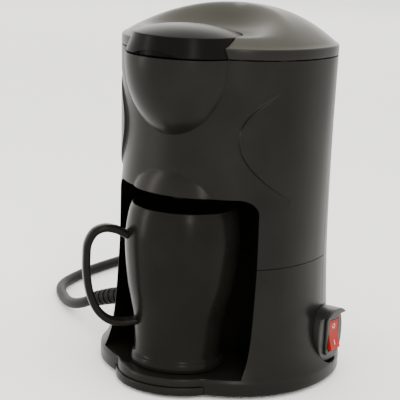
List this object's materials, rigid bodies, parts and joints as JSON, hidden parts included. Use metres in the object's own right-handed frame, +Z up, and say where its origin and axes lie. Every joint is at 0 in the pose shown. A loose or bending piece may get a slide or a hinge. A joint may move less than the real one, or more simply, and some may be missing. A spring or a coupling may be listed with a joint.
{
  "type": "drip coffee maker",
  "caption": "Compact drip coffee maker: oval tower with hinged lid, lift-out filter, mug in an open bay, side rocker switch and a round lead with an accessory plug.",
  "frame": {"origin": "on the standing surface, under the middle of the coffee maker without its lead", "axes": "+Z up, -Y the front where the mug stands, +X the side with the rocker switch"},
  "size_m": [0.261, 0.3146, 0.2262],
  "materials": {
    "gloss_black": "satin gloss moulded plastic",
    "mug_black": "glossy moulded plastic",
    "matt_lid": "fine matt texture",
    "steel": "plain zinc-plated steel",
    "foot_rubber": "matt rubber",
    "tank_grey": "smoked translucent plastic",
    "filter_brown": "moulded plastic with fine mesh",
    "clear_grey": "natural polypropylene",
    "cast_aluminium": "as cast",
    "device_metal": "pressed metal case",
    "silicone": "translucent silicone",
    "rocker_red": "moulded plastic",
    "terminal_brass": "plain",
    "cord_black": "PVC sheath",
    "tie_grey": "coated wire tie",
    "plug_black": "moulded plastic",
    "wire_red": "PVC insulation"
  },
  "bodies": {
    "housing": {"base_plate": "gloss_black", "base_screw_1": "steel", "base_screw_2": "steel", "base_screw_3": "steel", "base_screw_4": "steel", "bracket_screw_1": "steel", "bracket_screw_2": "steel", "cord": "cord_black", "cord_clamp": "gloss_black", "cord_coil": "cord_black", "cord_tail": "cord_black", "cord_tie": "tie_grey", "cover_screw_1": "steel", "cover_screw_2": "steel", "filter_holder": "gloss_black", "flow_heater": "cast_aluminium", "foot_1": "foot_rubber", "foot_2": "foot_rubber", "foot_3": "foot_rubber", "foot_4": "foot_rubber", "head_deck": "matt_lid", "heater_bracket": "steel", "hinge_pin": "steel", "hose_clamp_1": "steel", "hose_clamp_2": "steel", "hose_clamp_3": "steel", "hose_clamp_4": "steel", "inlet_hose": "silicone", "lower_housing": "gloss_black", "outlet_hose": "silicone", "plug_body": "plug_black", "plug_contact_left": "steel", "plug_contact_right": "steel", "plug_nose": "plug_black", "rear_cover": "gloss_black", "riser_tube": "clear_grey", "strain_relief": "cord_black", "switch_frame": "gloss_black", "switch_pod": "gloss_black", "switch_terminal_1": "terminal_brass", "switch_terminal_2": "terminal_brass", "thermal_fuse": "device_metal", "thermostat": "device_metal", "upper_housing": "gloss_black", "valve_body": "clear_grey", "water_spout": "matt_lid", "water_tank": "tank_grey", "wire_fuse": "wire_red", "wire_link": "wire_red", "wire_supply": "wire_red", "wire_switch": "wire_red"},
    "lid": {"lid": "matt_lid", "lid_cap": "gloss_black"},
    "rocker": {"switch_rocker": "rocker_red"},
    "mug": {"mug": "mug_black"},
    "filter": {"permanent_filter": "filter_brown"},
    "check_ball": {"valve_ball": "steel"},
    "plug_tip": {"plug_tip": "steel"}
  },
  "joints": [
    {"name": "lid_hinge", "type": "hinge", "parent": "housing", "child": "lid", "pos_m": [0, 0.0622, 0.2046], "axis": [-1, 0, 0], "range_deg": [0, 95]},
    {"name": "rocker_pivot", "type": "hinge", "parent": "housing", "child": "rocker", "pos_m": [0.068, 0.027, 0.028], "axis": [0, 1, 0], "range_deg": [0, 15]},
    {"name": "mug_slide", "type": "slide", "parent": "housing", "child": "mug", "axis": [0, -1, 0], "range_m": [0, 0.11]},
    {"name": "filter_lift", "type": "slide", "parent": "housing", "child": "filter", "axis": [0, 0, 1], "range_m": [0, 0.013]},
    {"name": "check_ball_lift", "type": "slide", "parent": "housing", "child": "check_ball", "axis": [0, 0, 1], "range_m": [0, 0.002]},
    {"name": "plug_tip_press", "type": "slide", "parent": "housing", "child": "plug_tip", "axis": [0, 1, 0], "range_m": [0, 0.004], "stiffness_N_per_m": 400}
  ]
}
